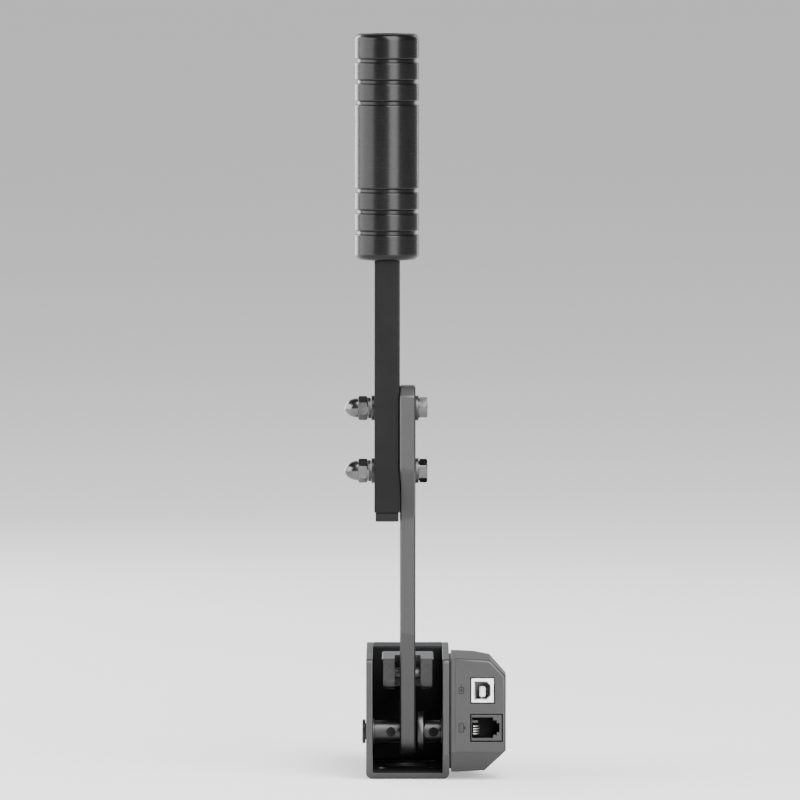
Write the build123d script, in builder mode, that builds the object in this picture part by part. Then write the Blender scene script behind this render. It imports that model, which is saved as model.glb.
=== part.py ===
"""Lever-type simulator handbrake: a bent channel base, a dog-leg lever with a grooved grip, a push rod
that squeezes a stack of elastomers, and a position sensor box with two sockets.

Row frame, millimetres: +Z up from the underside of the base, +Y towards the driver's side and the
load stack, +X towards the sensor box. The origin is the middle of the base's underside.
"""

import math
import os

from build123d import *

os.makedirs("parts", exist_ok=True)

# Base channel
FRAME_LENGTH = 124.0
FRAME_WIDTH = 40.0
FRAME_HEIGHT = 58.5
PLATE = 3.2
BEND_RADIUS = 3.0
NOSE_CHAMFER = 12.5
TOP_CORNER_ROUND = 2.0
EDGE_ROUND = 0.5
FRONT = -FRAME_LENGTH / 2
BACK = FRAME_LENGTH / 2
INNER_X = FRAME_WIDTH / 2 - PLATE
BASE_HOLE_RADIUS = 3.3
BASE_HOLE_SPACING_X = 24.0
BASE_HOLE_SPACING_Y = 44.0
CABLE_HOLE_RADIUS = 11.5

# Pivot of the lever
PIVOT_Y = -38.4
PIVOT_Z = 22.2
SHAFT_RADIUS = 4.0
RUNNING_GAP = 0.05
BUSH_RADIUS = 5.0
BUSH_FLANGE_RADIUS = 6.0
BUSH_FLANGE = 0.8
SHAFT_LEFT_X = -20.3
SHAFT_RIGHT_X = 25.2
SHAFT_CAP_RADIUS = 5.8
SHAFT_CAP = 1.6
SHAFT_CAP_HEX_RADIUS = 1.5
COLLAR_RADIUS = 5.3
COLLAR_GAP = 0.3
COLLAR_SCREW_RADIUS = 2.3
COLLAR_SCREW_FLOOR = 1.0
COLLAR_SCREW_TOP = 3.4
COLLAR_SCREW_HEX_RADIUS = 1.45
COLLAR_SCREW_HEX_DEPTH = 1.4
LEFT_SCREW_X = -8.1
RIGHT_SCREW_X = 12.4
FLANGE_RADIUS = 9.75
FLANGE_FACE_X = 7.9
FLANGE_STEP_RADIUS = 7.0
FLANGE_STEP = 0.75
RIGHT_COLLAR_X = 8.4

# Lever plate
LEVER_THICKNESS = 7.5
LEVER_HALF = LEVER_THICKNESS / 2
LEVER_TOP = 190.0
LEVER_FRONT_Y = -76.0
LEVER_UPPER_WIDTH = 26.0
JOG_TOP_Z = 149.5
JOG_FOOT_Z = 126.8
SHANK_FRONT_Y = -60.0
SHANK_REAR_Y = -37.5
NECK_Z = 70.7
FOOT_HALF = 11.1
LEVER_EDGE = 0.7
TOP_CHAMFER = 4.6
TOP_CORNER = 1.4
SPARE_HOLE_RADIUS = 3.2
SPARE_HOLE_Z = (85.0, 105.0)

# Clevis pin: its arc is symmetric about the vertical through the pivot
PULL_DEGREES = 14.0
PIN_ARM = 28.4
PIN_RADIUS = 2.65
PIN_HALF_LENGTH = 12.1
PIN_CLEARANCE = 0.4
HALF_PULL = math.radians(PULL_DEGREES / 2)
PIN_Y = PIVOT_Y - PIN_ARM * math.sin(HALF_PULL)
PIN_Z = PIVOT_Z + PIN_ARM * math.cos(HALF_PULL)

# Clevis fork and push rod, on one line parallel to Y
ROD_Z = PIVOT_Z + PIN_ARM * (1 + math.cos(HALF_PULL)) / 2
FORK_HALF_WIDTH = 12.4
FORK_SLOT_HALF = 6.2
FORK_HALF_HEIGHT = 7.5
FORK_NOSE = 7.0
FORK_NOSE_TOP_ROUND = 3.2
FORK_NOSE_FOOT_ROUND = 4.5
FORK_SLOT_END_Y = -24.0
FORK_BACK_Y = 3.0
FORK_EDGE = 0.6
ROD_RADIUS = 3.0
ROD_SINK = 14.0
ROD_END_Y = 60.5

# Load stack between the fork and the end block
STACK_RADIUS = 7.0
STACK_BORE_RADIUS = 3.4
PRELOAD_PLATE = 3.0
ELASTOMER_LENGTH = 7.0
ELASTOMER_COUNT = 3
ELASTOMER_WAIST = 0.5
STACK_WASHER = 1.5

# End block
END_BLOCK_LENGTH = 32.0
END_BLOCK_FRONT = BACK - END_BLOCK_LENGTH
END_BLOCK_GAP = 0.02
END_BLOCK_BOTTOM = PLATE + END_BLOCK_GAP
GUIDE_RADIUS = 4.6
COUNTERBORE_RADIUS = 6.3
COUNTERBORE_DEPTH = 14.0
BLOCK_SCREW_RADIUS = 2.5
BLOCK_SCREW_HEAD_RADIUS = 4.6
BLOCK_SCREW_LENGTH = 12.0
BLOCK_SCREW_Y = (38.0, 54.0)
BLOCK_SCREW_Z = 36.5
HEX_ACROSS_FLATS = 10.0
HEX_CORNER = HEX_ACROSS_FLATS / math.sqrt(3)
STOP_NUT = 5.0
JAM_NUT = 3.2
STOP_WASHER = 1.0

# Grip bar and grip
BAR_X = (-16.0, -LEVER_HALF)
BAR_Y = -63.0
BAR_WIDTH = 20.0
BAR_BOTTOM = 129.6
END_CAP_BOTTOM = 125.2
END_CAP_GAP = 0.4
END_CAP_INSET = 0.6
END_CAP_SPIGOT_RADIUS = 3.0
END_CAP_SPIGOT = 6.0
BAR_EDGE = 0.9
BOLT_Z = (149.2, 179.2)
BOLT_TURNS = (4, 20)
NUT_TURNS = (-5, 0)
GRIP_X = -10.0
GRIP_RADIUS = 15.45
GRIP_BOTTOM = 250.1
GRIP_TOP = 358.6
GRIP_END_ROUND = 3.0
GROOVE_DEPTH = 1.3
GROOVE_HALF_WIDTH = 1.0
GROOVE_LIP = 0.35
GROOVE_PITCH = 10.1
GROOVE_FIRST_Z = 263.3
GROOVE_BANK_RISE = 62.1
STUD_RADIUS = 5.0
STUD_SINK = 26.0
PLUG_RADIUS = 8.0
PLUG = 6.0

# Handle bolts, M6
BOLT_RADIUS = 3.0
BOLT_CLEARANCE = 0.2
BOLT_HEAD = 4.2
HEX_CHAMFER = 0.6
FLAT_WASHER = 1.5
FLAT_WASHER_RADIUS = 6.0
SPRING_WASHER = 1.6
SPRING_WASHER_RADIUS = 5.2
CAP_NUT_HEX = 4.7
CAP_NUT_DOME_RADIUS = 4.75
CAP_NUT_LENGTH = 11.1
BOLT_END_GAP = 3.0

# Sensor box
BOX_INNER_X = 20.8
BOX_OUTER_X = 47.1
BOX_BACKPLATE = 2.0
BOX_LAND_INSET = 1.6
BOX_WALL = 1.5
BOX_BOTTOM = 3.6
BOX_TOP = 59.0
BOX_DRAFT = math.tan(math.radians(2.0))
BOX_TOP_CUT = 7.6
BOX_BOTTOM_CUT = 10.2
BOX_NOSE_CUT = 10.0
BOX_SHOULDER_Y = -36.0
BOX_REAR_X = 32.0
BOX_REAR_Y = -2.0
BOX_FRONT_RECESS = 0.05
BOX_FRONT_ROUND = 1.4
BOX_SHAFT_HOLE_RADIUS = 5.2
BOX_SCREW_RADIUS = 1.5
BOX_SCREW_HEAD_RADIUS = 2.9
BOX_SCREW_LENGTH = 12.0
BOX_BOSS_RADIUS = 3.0
BOX_SCREW_PLACES = ((-47.0, 55.0), (-45.0, 9.0), (-12.0, 47.0), (-12.0, 16.0))
BOARD_X = 28.2
BOARD = 1.6
BOARD_Y = (-59.6, -20.0)
BOARD_Z = (13.0, 51.5)
MAGNET_RADIUS = 3.0
MAGNET = 1.6
CHIP_SIDE = 5.0
CHIP = 0.9

# Sockets in the front face of the sensor box
USB_X = (30.5, 41.35)
USB_Z = (37.65, 49.35)
USB_WALL = 1.6
USB_BEVEL = 1.7
USB_DEPTH = 16.0
USB_TONGUE_X = (34.6, 37.3)
USB_TONGUE_Z = (40.05, 45.15)
USB_TONGUE_RECESS = 4.4
JACK_X = (30.4, 45.2)
JACK_Z = (19.3, 31.9)
JACK_MOUTH_X = (30.9, 40.9)
JACK_MOUTH_HEIGHT = 9.8
JACK_KEY_X = (42.7, 44.0)
JACK_KEY_HEIGHT = (6.9, 4.2)
JACK_DEPTH = 18.0
JACK_MOUTH_DEPTH = 14.0
JACK_CONTACTS = 4
JACK_CONTACT_PITCH = 1.27
JACK_CONTACT_SECTION = 0.5
JACK_CONTACT_X = (31.2, 34.6)
JACK_CONTACT_DROP = 1.2
JACK_CONTACT_FRONT = 1.6
JACK_CONTACT_BACK = 6.4
SOCKET_FIT = 0.45
MARK = 0.2
MARK_X = (24.5, 26.9)
MARK_BAR = 1.1


def save(piece, name):
    """Labels one finished piece and writes it."""
    piece.part.label = name
    export_step(piece.part, f"parts/{name}.step")


def cross_plane(y):
    """Plane square to the length: local x is +X, local y is +Z, and its normal is -Y."""
    return Plane.XZ.offset(-y)


def turned_x(rings, y=PIVOT_Y, z=PIVOT_Z, bore=0.0):
    """A turned piece about an axis parallel to X, from (radius, x start, x end) rings."""
    with BuildPart() as piece:
        for radius, x_start, x_end in rings:
            with BuildSketch(Plane.YZ.offset(x_start)):
                with Locations((y, z)):
                    Circle(radius)
            extrude(amount=x_end - x_start)
        if bore:
            x_low = min(ring[1] for ring in rings)
            x_high = max(ring[2] for ring in rings)
            with BuildSketch(Plane.YZ.offset(x_low)):
                with Locations((y, z)):
                    Circle(bore)
            extrude(amount=x_high - x_low, mode=Mode.SUBTRACT)
    return piece


def turned_y(rings, x=0.0, z=ROD_Z, bore=0.0):
    """A turned piece about an axis parallel to Y, from (radius, y start, y end) rings."""
    with BuildPart() as piece:
        for radius, y_start, y_end in rings:
            with BuildSketch(cross_plane(y_end)):
                with Locations((x, z)):
                    Circle(radius)
            extrude(amount=y_end - y_start)
        if bore:
            y_low = min(ring[1] for ring in rings)
            y_high = max(ring[2] for ring in rings)
            with BuildSketch(cross_plane(y_high)):
                with Locations((x, z)):
                    Circle(bore)
            extrude(amount=y_high - y_low, mode=Mode.SUBTRACT)
    return piece


def base_frame():
    with BuildPart() as frame:
        with BuildSketch(Plane.XZ) as profile:
            with Locations((0, FRAME_HEIGHT / 2)):
                Rectangle(FRAME_WIDTH, FRAME_HEIGHT)
            fillet(profile.vertices().group_by(Axis.Y)[0], BEND_RADIUS)
            with Locations((0, PLATE)):
                Rectangle(
                    2 * INNER_X, FRAME_HEIGHT, align=(Align.CENTER, Align.MIN), mode=Mode.SUBTRACT
                )
        extrude(amount=FRAME_LENGTH / 2, both=True)
        with BuildSketch(Plane.YZ):
            with BuildLine():
                Polyline((FRONT, 0), (FRONT + NOSE_CHAMFER, 0), (FRONT, NOSE_CHAMFER), close=True)
            make_face()
        extrude(amount=FRAME_WIDTH, both=True, mode=Mode.SUBTRACT)
        top_corners = frame.edges().filter_by(Axis.X).group_by(Axis.Z)[-1]
        fillet(top_corners, TOP_CORNER_ROUND)
        with BuildSketch(Plane.XY):
            with GridLocations(BASE_HOLE_SPACING_X, BASE_HOLE_SPACING_Y, 2, 2):
                Circle(BASE_HOLE_RADIUS)
            Circle(CABLE_HOLE_RADIUS)
        extrude(amount=PLATE, mode=Mode.SUBTRACT)
        with BuildSketch(Plane.YZ):
            with Locations((PIVOT_Y, PIVOT_Z)):
                Circle(BUSH_RADIUS)
        extrude(amount=FRAME_WIDTH, both=True, mode=Mode.SUBTRACT)
        for side in (-1, 1):
            outer_face = Plane(origin=(side * FRAME_WIDTH / 2, 0, 0), x_dir=(0, 1, 0), z_dir=(side, 0, 0))
            with Locations(
                *[outer_face * Location((y, side * BLOCK_SCREW_Z, 0)) for y in BLOCK_SCREW_Y]
            ):
                CounterSinkHole(BLOCK_SCREW_RADIUS, BLOCK_SCREW_HEAD_RADIUS, PLATE)
        inner_face = Plane(origin=(INNER_X, 0, 0), x_dir=(0, 1, 0), z_dir=(-1, 0, 0))
        with Locations(*[inner_face * Location((y, -z, 0)) for y, z in BOX_SCREW_PLACES]):
            CounterSinkHole(BOX_SCREW_RADIUS, BOX_SCREW_HEAD_RADIUS, PLATE)
        fillet(frame.edges().filter_by(Axis.Y).group_by(Axis.Z)[-1], EDGE_ROUND)
    return frame


def end_block():
    with BuildPart() as block:
        with BuildSketch(cross_plane(BACK)):
            with Locations((0, (END_BLOCK_BOTTOM + FRAME_HEIGHT) / 2)):
                Rectangle(2 * (INNER_X - END_BLOCK_GAP), FRAME_HEIGHT - END_BLOCK_BOTTOM)
        extrude(amount=END_BLOCK_LENGTH)
        chamfer(block.edges().filter_by(Axis.X), EDGE_ROUND)
        with BuildSketch(cross_plane(BACK)):
            with Locations((0, ROD_Z)):
                Circle(GUIDE_RADIUS)
        extrude(amount=END_BLOCK_LENGTH, mode=Mode.SUBTRACT)
        with BuildSketch(cross_plane(BACK)):
            with Locations((0, ROD_Z)):
                Circle(COUNTERBORE_RADIUS)
        extrude(amount=COUNTERBORE_DEPTH, mode=Mode.SUBTRACT)
        with BuildSketch(Plane.YZ):
            with Locations(*[(y, BLOCK_SCREW_Z) for y in BLOCK_SCREW_Y]):
                Circle(BLOCK_SCREW_RADIUS)
        extrude(amount=FRAME_WIDTH, both=True, mode=Mode.SUBTRACT)
    return block


def flush_screws(places, x_face, direction, radius, head_radius, length):
    """Countersunk screws along X: places are (y, z), heads flush with x_face."""
    with BuildPart() as screws:
        for y, z in places:
            axis_plane = Plane(origin=(x_face, y, z), x_dir=(0, 1, 0), z_dir=(direction, 0, 0))
            with BuildSketch(axis_plane):
                Circle(radius)
            extrude(amount=length)
            with BuildSketch(axis_plane):
                Circle(head_radius)
            extrude(amount=head_radius - radius, taper=45)
            with BuildSketch(axis_plane):
                RegularPolygon(radius * 0.6, 6)
            extrude(amount=radius * 0.8, mode=Mode.SUBTRACT)
    return screws


def pivot_bush(side):
    """A flanged bush in one side plate, its flange on the plate's inner face."""
    x_out = side * FRAME_WIDTH / 2
    x_in = side * INNER_X
    x_flange = side * (INNER_X - BUSH_FLANGE)
    rings = (
        (BUSH_RADIUS, min(x_out, x_in), max(x_out, x_in)),
        (BUSH_FLANGE_RADIUS, min(x_in, x_flange), max(x_in, x_flange)),
    )
    return turned_x(rings, bore=SHAFT_RADIUS + RUNNING_GAP)


def screw_bores(x_screws, y_front):
    """Cutters for the set screws' bores, from inside the shaft out to y_front."""
    with BuildPart() as cutters:
        with BuildSketch(cross_plane(PIVOT_Y - COLLAR_SCREW_FLOOR)):
            with Locations(*[(x, PIVOT_Z) for x in x_screws]):
                Circle(COLLAR_SCREW_RADIUS)
        extrude(amount=PIVOT_Y - COLLAR_SCREW_FLOOR - y_front)
    return cutters


def collar(x_start, x_end, x_screw):
    """A shaft collar with a bore for its set screw, which faces the front."""
    cutters = screw_bores((x_screw,), PIVOT_Y - COLLAR_RADIUS)
    with BuildPart() as ring:
        with BuildSketch(Plane.YZ.offset(x_start)):
            with Locations((PIVOT_Y, PIVOT_Z)):
                Circle(COLLAR_RADIUS)
                Circle(SHAFT_RADIUS, mode=Mode.SUBTRACT)
        extrude(amount=x_end - x_start)
        add(cutters.part, mode=Mode.SUBTRACT)
    return ring


def pivot_shaft():
    """The shaft, with a blind bore under each collar for the end of its set screw."""
    cutters = screw_bores((LEFT_SCREW_X, RIGHT_SCREW_X), PIVOT_Y - SHAFT_RADIUS)
    with BuildPart() as shaft:
        with BuildSketch(Plane.YZ.offset(SHAFT_LEFT_X)):
            with Locations((PIVOT_Y, PIVOT_Z)):
                Circle(SHAFT_RADIUS)
        extrude(amount=SHAFT_RIGHT_X - SHAFT_LEFT_X)
        add(cutters.part, mode=Mode.SUBTRACT)
    return shaft


def collar_screws():
    """The two set screws, each sunk below its collar's surface, with a hexagon socket."""
    top_y = PIVOT_Y - COLLAR_SCREW_TOP
    with BuildPart() as screws:
        with BuildSketch(cross_plane(PIVOT_Y - COLLAR_SCREW_FLOOR)):
            with Locations((LEFT_SCREW_X, PIVOT_Z), (RIGHT_SCREW_X, PIVOT_Z)):
                Circle(COLLAR_SCREW_RADIUS)
        extrude(amount=COLLAR_SCREW_TOP - COLLAR_SCREW_FLOOR)
        with BuildSketch(cross_plane(top_y)):
            with Locations((LEFT_SCREW_X, PIVOT_Z), (RIGHT_SCREW_X, PIVOT_Z)):
                RegularPolygon(COLLAR_SCREW_HEX_RADIUS, 6)
        extrude(amount=-COLLAR_SCREW_HEX_DEPTH, mode=Mode.SUBTRACT)
    return screws


def shaft_cap():
    """Low round head of the screw in the shaft's left end, with a hexagon socket."""
    with BuildPart() as cap:
        with BuildSketch(Plane.YZ.offset(SHAFT_LEFT_X)):
            with Locations((PIVOT_Y, PIVOT_Z)):
                Circle(SHAFT_CAP_RADIUS)
        extrude(amount=-SHAFT_CAP)
        fillet(cap.edges().group_by(Axis.X)[0], EDGE_ROUND)
        with BuildSketch(Plane.YZ.offset(SHAFT_LEFT_X - SHAFT_CAP)):
            with Locations((PIVOT_Y, PIVOT_Z)):
                RegularPolygon(SHAFT_CAP_HEX_RADIUS, 6)
        extrude(amount=SHAFT_CAP / 2, mode=Mode.SUBTRACT)
    return cap


def lever_arm():
    """Flat plate: a foot around the pivot, a straight shank, and a dog-leg forward to the top."""
    neck_y = PIVOT_Y - SHANK_FRONT_Y
    neck_z = NECK_Z - PIVOT_Z
    slant = math.atan2(neck_y, neck_z) - math.asin(FOOT_HALF / math.hypot(neck_y, neck_z))
    foot_rear = PIVOT_Y + FOOT_HALF
    foot_bottom = PIVOT_Z - FOOT_HALF
    toe_y = SHANK_FRONT_Y + (NECK_Z - foot_bottom) * math.tan(slant)
    upper_rear = LEVER_FRONT_Y + LEVER_UPPER_WIDTH
    corners = (
        ((LEVER_FRONT_Y + TOP_CHAMFER, LEVER_TOP), TOP_CORNER),
        ((LEVER_FRONT_Y, LEVER_TOP - TOP_CHAMFER), TOP_CORNER),
        ((LEVER_FRONT_Y, JOG_TOP_Z), 5.0),
        ((SHANK_FRONT_Y, JOG_FOOT_Z), 5.0),
        ((SHANK_FRONT_Y, NECK_Z), 6.0),
        ((toe_y, foot_bottom), FOOT_HALF - 0.1),
        ((foot_rear, foot_bottom), FOOT_HALF - 0.1),
        ((foot_rear, 50.0), 14.0),
        ((SHANK_REAR_Y, 78.0), 14.0),
        ((SHANK_REAR_Y, JOG_FOOT_Z - 6.0), 8.0),
        ((upper_rear, JOG_TOP_Z - 4.0), 8.0),
        ((upper_rear, LEVER_TOP - TOP_CHAMFER), TOP_CORNER),
        ((upper_rear - TOP_CHAMFER, LEVER_TOP), TOP_CORNER),
    )
    with BuildPart() as lever:
        with BuildSketch(Plane.YZ):
            with BuildLine():
                FilletPolyline(*[p for p, _ in corners], radius=[r for _, r in corners], close=True)
            make_face()
            with Locations((PIVOT_Y, PIVOT_Z)):
                Circle(SHAFT_RADIUS, mode=Mode.SUBTRACT)
            with Locations((PIN_Y, PIN_Z)):
                Circle(PIN_RADIUS, mode=Mode.SUBTRACT)
            with Locations(*[(BAR_Y, z) for z in BOLT_Z]):
                Circle(BOLT_RADIUS + BOLT_CLEARANCE, mode=Mode.SUBTRACT)
            with Locations(*[((SHANK_FRONT_Y + SHANK_REAR_Y) / 2, z) for z in SPARE_HOLE_Z]):
                Circle(SPARE_HOLE_RADIUS, mode=Mode.SUBTRACT)
        extrude(amount=LEVER_HALF, both=True)
        for face in (lever.faces().sort_by(Axis.X)[0], lever.faces().sort_by(Axis.X)[-1]):
            chamfer(face.outer_wire().edges(), LEVER_EDGE)
    return lever


def clevis_fork():
    """Two arms around the lever on a solid block; the arms' holes leave the pin room to rise."""
    with BuildPart() as fork:
        with BuildSketch(Plane.YZ) as side:
            with Locations((FORK_BACK_Y, ROD_Z)):
                Rectangle(
                    FORK_BACK_Y - PIN_Y + FORK_NOSE, 2 * FORK_HALF_HEIGHT, align=(Align.MAX, Align.CENTER)
                )
            nose = side.vertices().group_by(Axis.X)[0].sort_by(Axis.Y)
            fillet(nose[0], FORK_NOSE_FOOT_ROUND)
            fillet(nose[-1], FORK_NOSE_TOP_ROUND)
            with Locations((PIN_Y, ROD_Z)):
                Circle(PIN_RADIUS + PIN_CLEARANCE, mode=Mode.SUBTRACT)
        extrude(amount=FORK_HALF_WIDTH, both=True)
        for face in (fork.faces().sort_by(Axis.X)[0], fork.faces().sort_by(Axis.X)[-1]):
            chamfer(face.outer_wire().edges(), FORK_EDGE)
        with BuildSketch(Plane.XY.offset(ROD_Z)):
            with Locations((0, FORK_SLOT_END_Y)):
                Rectangle(2 * FORK_SLOT_HALF, FRAME_LENGTH, align=(Align.CENTER, Align.MAX))
        extrude(amount=FRAME_HEIGHT, both=True, mode=Mode.SUBTRACT)
        with BuildSketch(cross_plane(FORK_BACK_Y)):
            with Locations((0, ROD_Z)):
                Circle(ROD_RADIUS)
        extrude(amount=ROD_SINK, mode=Mode.SUBTRACT)
    return fork


def clevis_pin():
    return turned_x(((PIN_RADIUS, -PIN_HALF_LENGTH, PIN_HALF_LENGTH),), PIN_Y, PIN_Z)


def elastomer(y_start):
    """One waisted cylinder of the load stack, with a bore for the rod."""
    y_end = y_start + ELASTOMER_LENGTH
    with BuildPart() as pad:
        with BuildSketch(Plane.YZ):
            with BuildLine():
                outer = ROD_Z + STACK_RADIUS
                ThreePointArc(
                    (y_start, outer), ((y_start + y_end) / 2, outer - ELASTOMER_WAIST), (y_end, outer)
                )
                Polyline(
                    (y_end, outer),
                    (y_end, ROD_Z + STACK_BORE_RADIUS),
                    (y_start, ROD_Z + STACK_BORE_RADIUS),
                    (y_start, outer),
                )
            make_face()
        revolve(axis=Axis((0, 0, ROD_Z), (0, 1, 0)))
    return pad


def hexagons_y(spans, bore):
    """Hexagon nuts about the rod, each from y start to y end."""
    with BuildPart() as nuts:
        for y_start, y_end in spans:
            with BuildSketch(cross_plane(y_end)):
                with Locations((0, ROD_Z)):
                    RegularPolygon(HEX_CORNER, 6)
                    Circle(bore, mode=Mode.SUBTRACT)
            extrude(amount=y_end - y_start)
    return nuts


def handle_bolts():
    """Hexagon head bolts, heads on the lever's right, shanks through lever and bar."""
    head_x = LEVER_HALF + FLAT_WASHER
    tip_x = BAR_X[0] - FLAT_WASHER - SPRING_WASHER - CAP_NUT_LENGTH + BOLT_END_GAP
    with BuildPart() as bolts:
        for z, turn in zip(BOLT_Z, BOLT_TURNS):
            with BuildSketch(Plane.YZ.offset(head_x)):
                with Locations(Location((BAR_Y, z), turn)):
                    RegularPolygon(HEX_CORNER, 6)
            extrude(amount=BOLT_HEAD)
            with BuildSketch(Plane.YZ.offset(tip_x)):
                with Locations((BAR_Y, z)):
                    Circle(BOLT_RADIUS)
            extrude(amount=head_x - tip_x)
        with BuildSketch(Plane.YZ.offset(head_x)):
            with Locations(*[(BAR_Y, z) for z in BOLT_Z]):
                Circle(HEX_CORNER - HEX_CHAMFER / 2)
        extrude(amount=BOLT_HEAD - HEX_CHAMFER)
    return bolts


def cap_nuts():
    """Hexagon nuts with a domed end on the left of the bar."""
    seat_x = BAR_X[0] - FLAT_WASHER - SPRING_WASHER
    dome_x = seat_x - CAP_NUT_LENGTH + CAP_NUT_DOME_RADIUS
    with BuildPart() as nuts:
        for z, turn in zip(BOLT_Z, NUT_TURNS):
            with BuildSketch(Plane.YZ.offset(seat_x)):
                with Locations(Location((BAR_Y, z), turn)):
                    RegularPolygon(HEX_CORNER, 6)
            extrude(amount=-CAP_NUT_HEX)
            with BuildSketch(Plane.YZ.offset(seat_x)):
                with Locations((BAR_Y, z)):
                    Circle(CAP_NUT_DOME_RADIUS)
            extrude(amount=dome_x - seat_x)
            with Locations((dome_x, BAR_Y, z)):
                Sphere(CAP_NUT_DOME_RADIUS)
        with BuildSketch(Plane.YZ.offset(seat_x)):
            with Locations(*[(BAR_Y, z) for z in BOLT_Z]):
                Circle(BOLT_RADIUS)
        extrude(amount=-(CAP_NUT_LENGTH - BOLT_END_GAP), mode=Mode.SUBTRACT)
    return nuts


def washers(radius, x_start, x_end, gap_width=0.0):
    """A ring on each handle bolt; a gap width splits it as a spring washer."""
    with BuildPart() as rings:
        with BuildSketch(Plane.YZ.offset(x_start)):
            for z in BOLT_Z:
                with Locations((BAR_Y, z)):
                    Circle(radius)
                    Circle(BOLT_RADIUS + BOLT_CLEARANCE, mode=Mode.SUBTRACT)
                if gap_width:
                    with Locations((BAR_Y, z)):
                        Rectangle(
                            gap_width, radius + 1, align=(Align.CENTER, Align.MIN), mode=Mode.SUBTRACT
                        )
        extrude(amount=x_end - x_start)
    return rings


def grip_bar():
    """Flat bar from the lever's two bolts up to the grip."""
    with BuildPart() as bar:
        with BuildSketch(Plane.XY.offset(BAR_BOTTOM)):
            with Locations((sum(BAR_X) / 2, BAR_Y)):
                Rectangle(BAR_X[1] - BAR_X[0], BAR_WIDTH)
        extrude(amount=GRIP_BOTTOM - BAR_BOTTOM)
        fillet(bar.edges().filter_by(Axis.Z), BAR_EDGE)
        with BuildSketch(Plane.YZ):
            with Locations(*[(BAR_Y, z) for z in BOLT_Z]):
                Circle(BOLT_RADIUS + BOLT_CLEARANCE)
        extrude(amount=-FRAME_WIDTH, mode=Mode.SUBTRACT)
        with BuildSketch(Plane.XY.offset(GRIP_BOTTOM)):
            with Locations((GRIP_X, BAR_Y)):
                Circle(STUD_RADIUS)
        extrude(amount=-STUD_SINK, mode=Mode.SUBTRACT)
        with BuildSketch(Plane.XY.offset(BAR_BOTTOM)):
            with Locations((sum(BAR_X) / 2, BAR_Y)):
                Circle(END_CAP_SPIGOT_RADIUS)
        extrude(amount=END_CAP_SPIGOT, mode=Mode.SUBTRACT)
    return bar


def bar_end_cap():
    """Inset cap under the bar, held by a round spigot, with a fine shadow gap above it."""
    with BuildPart() as cap:
        with BuildSketch(Plane.XY.offset(END_CAP_BOTTOM)):
            with Locations((sum(BAR_X) / 2, BAR_Y)):
                Rectangle(BAR_X[1] - BAR_X[0] - 2 * END_CAP_INSET, BAR_WIDTH - 2 * END_CAP_INSET)
        extrude(amount=BAR_BOTTOM - END_CAP_GAP - END_CAP_BOTTOM)
        fillet(cap.edges().filter_by(Axis.Z), BAR_EDGE)
        chamfer(cap.edges().group_by(Axis.Z)[0], END_CAP_GAP)
        with BuildSketch(Plane.XY.offset(END_CAP_BOTTOM)):
            with Locations((sum(BAR_X) / 2, BAR_Y)):
                Circle(END_CAP_SPIGOT_RADIUS)
        extrude(amount=BAR_BOTTOM + END_CAP_SPIGOT - END_CAP_BOTTOM)
    return cap


def grip_stud():
    """Stud that joins the bar and the grip."""
    with BuildPart() as stud:
        with BuildSketch(Plane.XY.offset(GRIP_BOTTOM - STUD_SINK)):
            with Locations((GRIP_X, BAR_Y)):
                Circle(STUD_RADIUS)
        extrude(amount=2 * STUD_SINK)
    return stud


def groove_outline(z):
    """Half section of one groove at height z, with chamfered lips."""
    floor_r = GRIP_RADIUS - GROOVE_DEPTH
    lip_r = GRIP_RADIUS - GROOVE_LIP
    out_r = GRIP_RADIUS + GROOVE_LIP
    wide = GROOVE_HALF_WIDTH + 2 * GROOVE_LIP
    return (
        (floor_r, z - GROOVE_HALF_WIDTH),
        (lip_r, z - GROOVE_HALF_WIDTH),
        (out_r, z - wide),
        (out_r, z + wide),
        (lip_r, z + GROOVE_HALF_WIDTH),
        (floor_r, z + GROOVE_HALF_WIDTH),
    )


def grip():
    """Turned grip with two banks of three grooves, a blind bore below and a plug seat on top."""
    with BuildPart() as handle:
        with BuildSketch(Plane.XY.offset(GRIP_BOTTOM)):
            with Locations((GRIP_X, BAR_Y)):
                Circle(GRIP_RADIUS)
        extrude(amount=GRIP_TOP - GRIP_BOTTOM)
        fillet(handle.edges().filter_by(GeomType.CIRCLE), GRIP_END_ROUND)
        with BuildSketch(Plane(origin=(GRIP_X, BAR_Y, 0), x_dir=(1, 0, 0), z_dir=(0, -1, 0))):
            for bank in range(2):
                for index in range(3):
                    z = GROOVE_FIRST_Z + bank * GROOVE_BANK_RISE + index * GROOVE_PITCH
                    with BuildLine():
                        Polyline(*groove_outline(z), close=True)
                    make_face()
        revolve(axis=Axis((GRIP_X, BAR_Y, 0), (0, 0, 1)), mode=Mode.SUBTRACT)
        with BuildSketch(Plane.XY.offset(GRIP_BOTTOM)):
            with Locations((GRIP_X, BAR_Y)):
                Circle(STUD_RADIUS)
        extrude(amount=STUD_SINK + 1, mode=Mode.SUBTRACT)
        with BuildSketch(Plane.XY.offset(GRIP_TOP)):
            with Locations((GRIP_X, BAR_Y)):
                Circle(PLUG_RADIUS)
        extrude(amount=-PLUG, mode=Mode.SUBTRACT)
    return handle


def grip_plug():
    """Slightly sunk plug in the grip's top."""
    with BuildPart() as plug:
        with BuildSketch(Plane.XY.offset(GRIP_TOP - PLUG)):
            with Locations((GRIP_X, BAR_Y)):
                Circle(PLUG_RADIUS - RUNNING_GAP)
        extrude(amount=PLUG - EDGE_ROUND)
        chamfer(plug.edges().group_by(Axis.Z)[-1], EDGE_ROUND)
    return plug


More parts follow.
